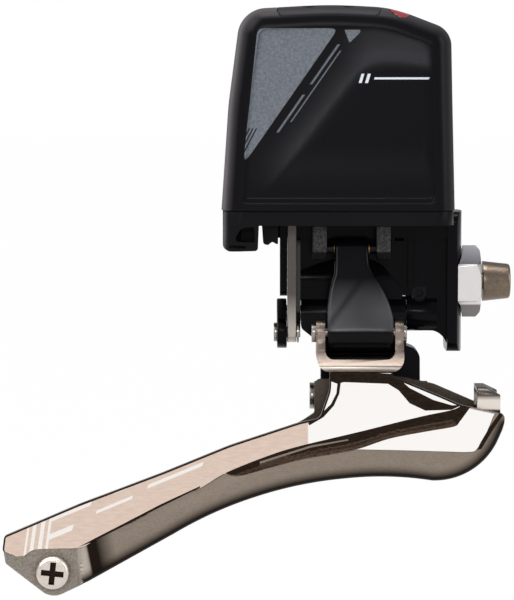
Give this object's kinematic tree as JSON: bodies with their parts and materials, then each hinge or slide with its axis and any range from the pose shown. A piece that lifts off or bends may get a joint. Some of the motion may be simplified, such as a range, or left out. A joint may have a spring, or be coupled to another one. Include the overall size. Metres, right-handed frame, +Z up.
{
  "type": "front derailleur",
  "caption": "Electric front derailleur for a road bicycle, with a motor housing, a parallelogram linkage and a chain cage, clamped to a curved braze-on tab.",
  "frame": {"origin": "crest of the convex mounting face, on the axis of the clamp bolt", "axes": "+X forward along the clamp bolt, towards its head; +Y inboard, towards the frame's centre line; +Z up"},
  "size_m": [0.1243, 0.0348, 0.1425],
  "materials": {
    "black_cast": "gloss black paint over cast aluminium",
    "rough_cast": "textured dark paint",
    "gold_shim": "thin gold coloured sheet",
    "steel_pin": "turned steel",
    "bronze_bush": "sintered bronze",
    "black_screw": "black oxide steel",
    "housing_black": "satin black moulded plastic with a grey corner field",
    "lid_black": "polished black moulded plastic",
    "seal_rubber": "soft black rubber",
    "red_button": "translucent red plastic",
    "gear_steel": "sintered steel",
    "frame_steel": "pressed steel sheet",
    "motor_steel": "drawn steel can",
    "motor_plastic": "ivory moulded plastic",
    "magnet_grey": "sintered ferrite",
    "armature_red": "lacquered laminations",
    "board_green": "green circuit board",
    "chip_black": "moulded packages",
    "link_black": "gloss black paint",
    "rod_steel": "satin rolled steel",
    "plate_polished": "polished outer panel over a satin band",
    "plate_satin": "satin plated steel",
    "bracket_satin": "satin plated steel",
    "screw_bright": "bright zinc plated steel",
    "washer_steel": "blasted stainless steel",
    "bolt_bronze": "bronze grey plated steel"
  },
  "bodies": {
    "root": {"main_body": "black_cast", "pivot_blocks": "rough_cast", "seat_shim": "gold_shim", "upper_outer_pin": "black_screw", "body_bushes": "bronze_bush", "body_screws": "black_screw", "housing_base": "housing_black", "housing_gasket": "seal_rubber", "housing_cap": "housing_black", "housing_screws": "black_screw", "top_lid": "lid_black", "lid_gasket": "seal_rubber", "lid_screws": "black_screw", "rod_wiper_seal": "seal_rubber", "gear_frame_left": "frame_steel", "gear_frame_right": "frame_steel", "gear_frame_standoffs": "steel_pin", "gear_pins": "steel_pin", "output_bushes": "bronze_bush", "motor_can": "motor_steel", "motor_end_cap": "motor_plastic", "motor_magnets": "magnet_grey", "circuit_board": "board_green", "board_components": "chip_black", "wire_socket": "chip_black", "wire_grommet": "seal_rubber"},
    "cage": {"outer_cage_plate": "plate_polished", "inner_cage_plate": "plate_satin", "cage_bracket": "bracket_satin", "nose_bridge": "plate_satin", "tail_spacer": "screw_bright", "tail_screw": "screw_bright", "lower_outer_pin": "steel_pin", "lower_inner_pin": "steel_pin"},
    "outer_link_body": {"outer_link": "link_black", "link_bushes": "bronze_bush"},
    "inner_link_body": {"inner_link": "link_black", "inner_link_bushes": "bronze_bush", "inner_pivot_shaft": "steel_pin", "drive_lever": "link_black", "lever_pin": "steel_pin", "rod_clip": "steel_pin"},
    "drive_rod_body": {"drive_rod": "rod_steel"},
    "crank": {"crank_arm": "gear_steel", "crank_pin": "steel_pin", "output_shaft": "steel_pin", "output_gear": "gear_steel"},
    "second_wheel": {"gear_2": "gear_steel"},
    "first_wheel": {"gear_1": "gear_steel"},
    "motor_rotor": {"motor_shaft": "steel_pin", "motor_armature": "armature_red", "motor_pinion": "bronze_bush"},
    "button": {"power_button": "red_button"},
    "clamp_bolt": {"mount_bolt": "bolt_bronze"},
    "saddle_washer": {"clamp_washer": "washer_steel"},
    "support": {"support_screw": "black_screw"}
  },
  "joints": [
    {"name": "outer_link_swing", "type": "hinge", "parent": "root", "child": "outer_link_body", "pos_m": [-0.0276, -0.012, 0.0089], "axis": [-1, 0, 0], "range_deg": [0, 36]},
    {"name": "inner_link_swing", "type": "hinge", "parent": "root", "child": "inner_link_body", "pos_m": [-0.027, -0.0028, -0.0077], "axis": [-1, 0, 0], "range_deg": [-1, 37]},
    {"name": "cage_turn", "type": "hinge", "parent": "outer_link_body", "child": "cage", "pos_m": [-0.0257, -0.01521, -0.01135], "axis": [-1, 0, 0], "range_deg": [-37, 1]},
    {"name": "crank_turn", "type": "hinge", "parent": "root", "child": "crank", "pos_m": [-0.0396, -0.0028, 0.0293], "axis": [-1, 0, 0], "range_deg": [-1, 37]},
    {"name": "rod_turn", "type": "hinge", "parent": "crank", "child": "drive_rod_body", "pos_m": [-0.0422, -0.011, 0.02535], "axis": [-1, 0, 0], "range_deg": [-37, 1]},
    {"name": "second_wheel_turn", "type": "hinge", "parent": "root", "child": "second_wheel", "pos_m": [-0.033, -0.00679, 0.04009], "axis": [-1, 0, 0], "range_deg": [-104.83, 2.83]},
    {"name": "first_wheel_turn", "type": "hinge", "parent": "root", "child": "first_wheel", "pos_m": [-0.031, -0.01099, 0.04971], "axis": [-1, 0, 0], "range_deg": [-7.08, 262.08]},
    {"name": "motor_turn", "type": "hinge", "parent": "root", "child": "motor_rotor", "pos_m": [-0.017, -0.00107, 0.05313], "axis": [-1, 0, 0], "range_deg": [-655.21, 17.71]},
    {"name": "power_button_press", "type": "slide", "parent": "root", "child": "button", "axis": [0, 0, -1], "range_m": [0, 0.0006], "stiffness_N_per_m": 1500},
    {"name": "mount_bolt_travel", "type": "slide", "parent": "root", "child": "clamp_bolt", "axis": [1, 0, 0], "range_m": [0, 0.008]},
    {"name": "washer_travel", "type": "slide", "parent": "root", "child": "saddle_washer", "axis": [1, 0, 0], "range_m": [0, 0.0045]},
    {"name": "support_screw_travel", "type": "slide", "parent": "root", "child": "support", "axis": [0, 1, 0], "range_m": [0, 0.003]}
  ],
  "couplings": [
    {"joint": "inner_link_swing", "follows": "outer_link_swing", "ratio": 1},
    {"joint": "cage_turn", "follows": "outer_link_swing", "ratio": -1},
    {"joint": "crank_turn", "follows": "outer_link_swing", "ratio": 1},
    {"joint": "rod_turn", "follows": "outer_link_swing", "ratio": -1},
    {"joint": "second_wheel_turn", "follows": "outer_link_swing", "ratio": -2.8333},
    {"joint": "first_wheel_turn", "follows": "outer_link_swing", "ratio": 7.0833},
    {"joint": "motor_turn", "follows": "outer_link_swing", "ratio": -17.708},
    {"joint": "washer_travel", "follows": "mount_bolt_travel", "ratio": 0.5}
  ]
}
